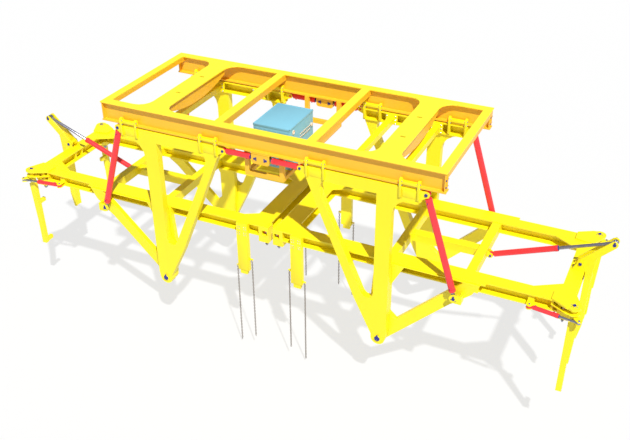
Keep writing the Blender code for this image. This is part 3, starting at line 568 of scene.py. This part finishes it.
CABINET_X, CABINET_Y, CABINET_Z = (-0.395, 0.395), (-1.045, 0.01), (1.7505, 2.62)
cabinet, sockets, collars = bmesh.new(), bmesh.new(), bmesh.new()
block(cabinet, CABINET_X, CABINET_Y, (CABINET_Z[0], 2.60), 0.006)
block(cabinet, (-0.400, 0.400), (-1.050, 0.015), (2.585, CABINET_Z[1]), 0.005)
rim = 0.018
for x in ((-0.400, -0.400 + rim), (0.400 - rim, 0.400)):
    block(cabinet, x, (-1.050, 0.015), (2.612, 2.627), 0.004)
for y in ((-1.050, -1.050 + rim), (0.015 - rim, 0.015)):
    block(cabinet, (-0.400, 0.400), y, (2.612, 2.627), 0.004)
for i in range(15):
    louvre = bmesh.new()
    block(louvre, (-0.022, 0.022), (-0.007, 0.004), (-0.004, 0.004), 0.003)
    bmesh.ops.rotate(louvre, matrix=Matrix.Rotation(radians(38 if i % 2 else -38), 3, "Y"), verts=louvre.verts)
    stamp(cabinet, louvre, (-0.35 + 0.05 * i, CABINET_Y[0], 2.535))
    louvre.free()
for y in ((-1.015, -0.53), (-0.505, -0.02)):
    block(cabinet, (CABINET_X[0] - 0.006, CABINET_X[0] + 0.004), y, (1.80, 2.56), 0.004)
    block(cabinet, (CABINET_X[0] - 0.018, CABINET_X[0]), (y[1] - 0.05, y[1] - 0.03), (2.12, 2.26), 0.004)
ring = turned([(-0.004, 0.046), (0.010, 0.046), (0.014, 0.042), (0.014, 0.030), (0.004, 0.028), (0.004, 0)], 24)
stamp(sockets, ring, (CABINET_X[1], -0.88, 2.51), ALONG_X)
cap = turned([(-0.004, 0.036), (0.022, 0.036), (0.026, 0.032), (0.026, 0)], 24)
stamp(sockets, cap, (CABINET_X[1], -0.085, 2.345), ALONG_X)
gland = turned([(-0.004, 0.0145), (0.008, 0.0145), (0.008, 0.012), (0.018, 0.012), (0.020, 0.010), (0.020, 0)], 12)
core = turned([(0.0195, 0.0085), (0.0245, 0.007), (0.0245, 0)], 12)
for row in range(2):
    for i in range(8):
        at = (CABINET_X[1], -0.575 + 0.0585 * i, 2.35 - 0.072 * row)
        stamp(sockets, gland, at, ALONG_X)
        stamp(collars, core, at, ALONG_X)
for name, form, material, slot in (
    ("cabinet_shell", cabinet, CABINET_BLUE, "cabinet_paint"),
    ("cabinet_sockets", sockets, IVORY, "cabinet_paint"),
    ("cabinet_connector_cores", collars, RUBBER, "cabinet_paint"),
):
    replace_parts(piece(name, form, material, "head"), "cabinet")
for shape in (cabinet, sockets, collars, ring, cap, gland, core):
    shape.free()

# Twistlocks
# Forged locking pins: a shaft with a thrust collar, an indicator disc under the sight window, and the pointed
# head that turns a quarter in the container's corner casting.

LOCK_Y = 1.1295
LOCK_X = {"inner": 0.141, "outer": 5.994}
for which, x in LOCK_X.items():
    lock = turned(
        [
            (-0.05, 0),
            (-0.05, 0.026),
            (0.155, 0.026),
            (0.16, 0.048),
            (0.20, 0.048),
            (0.205, 0.03),
            (0.262, 0.03),
            (0.268, 0.026),
            (0.28, 0.024),
            (0.28, 0),
        ],
        24,
    )
    head = bmesh.ops.create_cube(lock, size=1)["verts"]
    bmesh.ops.scale(lock, vec=(0.056, 0.104, 0.058), verts=head)
    bmesh.ops.translate(lock, vec=(0, 0, -0.061), verts=head)
    bmesh.ops.scale(lock, vec=(0.45, 0.55, 1), verts=[vert for vert in head if vert.co.z < -0.06])
    edges = list({edge for vert in head for edge in vert.link_edges})
    bmesh.ops.bevel(lock, geom=edges, offset=0.006, segments=3, profile=0.5, affect="EDGES", material=-1)
    shaft = bmesh.new()
    stamp(shaft, lock, (x, LOCK_Y, 0))
    for half, face, signs in QUADRANTS:
        body = f"twistlock_{half}_{face}_{which}"
        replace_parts(piece(f"lock_{half}_{face}_{which}", shaft, ROD_STEEL, body, signs), body)
    lock.free()
    shaft.free()

# Corner housings
# The sight window of each twistlock housing has a raised frame, and a red and white flag behind it shows whether
# the lock is turned.

trims, flags, whites = bmesh.new(), bmesh.new(), bmesh.new()
for x in LOCK_X.values():
    face_y = 1.24
    for dx in (-0.067, 0.067):
        block(trims, (x + dx - 0.007, x + dx + 0.007), (face_y - 0.004, face_y + 0.004), (0.188, 0.322), 0.002)
    for z in (0.193, 0.317):
        block(trims, (x - 0.06, x + 0.06), (face_y - 0.004, face_y + 0.004), (z - 0.006, z + 0.006), 0.002)
    block(flags, (x + 0.006, x + 0.034), (face_y - 0.052, face_y - 0.046), (0.235, 0.300), 0.002)
    block(whites, (x - 0.034, x - 0.002), (face_y - 0.052, face_y - 0.046), (0.235, 0.300), 0.002)
for half, face, signs in QUADRANTS:
    body = f"tilt_{half}"
    piece(f"window_frames_{half}_{face}", trims, YELLOW, body, signs)
    piece(f"lock_flags_{half}_{face}", flags, RED, body, signs)
    piece(f"lock_plates_{half}_{face}", whites, IVORY, body, signs)
for shape in (trims, flags, whites):
    shape.free()

# Chain arms
# Each chain arm is a pressed channel bolted over a bracket on the side beam, with a capped toe and a pair of
# lugs whose shackle bolts take the first links.

ARM_X, ARM_Y = (0.50, 0.755), (1.245, 1.335)
arms, fixings = bmesh.new(), bmesh.new()
block(arms, (ARM_X[0] + 0.006, ARM_X[1] - 0.006), (ARM_Y[1] - 0.002, ARM_Y[1] + 0.004), (-0.74, 0.41), 0.003)
for x in ((ARM_X[0] + 0.001, ARM_X[0] + 0.014), (ARM_X[1] - 0.014, ARM_X[1] - 0.001)):
    block(arms, x, (ARM_Y[1] - 0.004, ARM_Y[1] + 0.008), (-0.745, 0.415), 0.003)
for z in (0.34, 0.29, 0.20, 0.15):
    for x in (0.53, 0.575, 0.68, 0.725):
        stamp(fixings, tiny_bolt, (x, ARM_Y[1] + 0.004, z), ALONG_Y)
bracket_bolt = hexagon_bolt(0.019)
for x, way in ((0.54, -ALONG_X), (0.715, ALONG_X)):
    for z in (0.24, 0.33):
        stamp(fixings, bracket_bolt, (x, 1.205, z), way)
bracket_bolt.free()
for x, top, _ in CHAIN_DROPS.values():
    shackle = turned([(-0.028, 0), (-0.028, 0.010), (-0.024, 0.012), (0.024, 0.012), (0.028, 0.010), (0.028, 0)], 12)
    stamp(fixings, shackle, (x, CHAIN_Y, top + 0.018), ALONG_Y)
    shackle.free()
for half, face, signs in QUADRANTS:
    piece(f"chain_arm_covers_{half}_{face}", arms, YELLOW, f"tilt_{half}", signs)
    piece(f"chain_arm_bolts_{half}_{face}", fixings, BOLT_ZINC, f"tilt_{half}", signs)
arms.free()
fixings.free()

# Head frame ends
# The end stiffeners of the long beams are bolted to the end tube, with two bolts on each side of the web.

ends = bmesh.new()
large_bolt = hexagon_bolt(0.019)
for y in (1.385, 1.480):
    for z in (2.36, 2.50):
        stamp(ends, large_bolt, (3.68, y, z), ALONG_X)
for half, face, signs in QUADRANTS:
    piece(f"end_bolts_{half}_{face}", ends, PIN_BLUE, "head", signs)
ends.free()
for shape in (small_bolt, tiny_bolt, large_bolt):
    shape.free()

# Structure
# The welded frames, beams and cylinders keep the shapes of the solids and take their paint; their cut edges are
# ground to a small radius.

for name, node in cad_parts.items():
    if node.hide_render:
        continue
    # The head frame's paint carries the painted highlight on its top flange.
    if name == "head_frame":
        material = ORANGE
    elif name.startswith(("tilt_rod", "lever_rod", "corner_rod")):
        material = ROD_STEEL
    elif "_barrel_" in name:
        material = RED
    else:
        material = YELLOW
    node.data.materials.clear()
    node.data.materials.append(material)
    joined = node.modifiers.new("joined", "WELD")
    joined.merge_threshold = 0.0001
    eased = node.modifiers.new("eased", "BEVEL")
    eased.width = 0.003
    eased.segments = 1
    eased.limit_method = "ANGLE"
    eased.angle_limit = radians(45)
    eased.use_clamp_overlap = True

# Studio
# A pale floor under the hanging beam, a high sun over the right shoulder and a white sky that fills the shade.

floor = bmesh.new()
bmesh.ops.create_grid(floor, x_segments=1, y_segments=1, size=60)
bmesh.ops.translate(floor, vec=(0, 0, -5.5), verts=floor.verts)
floor_mesh = bpy.data.meshes.new("floor")
floor.to_mesh(floor_mesh)
floor.free()
floor_paint = bpy.data.materials.new("floor")
floor_paint.use_nodes = True
floor_shader = floor_paint.node_tree.nodes["Principled BSDF"]
floor_shader.inputs["Base Color"].default_value = (0.16, 0.16, 0.16, 1)
floor_shader.inputs["Roughness"].default_value = 0.9
floor_shader.inputs["Emission Color"].default_value = (1, 1, 1, 1)
floor_shader.inputs["Emission Strength"].default_value = 0.74
floor_mesh.materials.append(floor_paint)
floor_object = bpy.data.objects.new("floor", floor_mesh)
scene.collection.objects.link(floor_object)

sky = bpy.data.worlds.new("sky")
sky.use_nodes = True
sky.node_tree.nodes["Background"].inputs["Color"].default_value = (1, 1, 1, 1)
sky.node_tree.nodes["Background"].inputs["Strength"].default_value = 0.28
scene.world = sky

sun_data = bpy.data.lights.new("sun", "SUN")
sun_data.energy = 4.6
sun_data.angle = radians(1.5)
sun = bpy.data.objects.new("sun", sun_data)
scene.collection.objects.link(sun)
sun.rotation_euler = (radians(36), 0, radians(42))
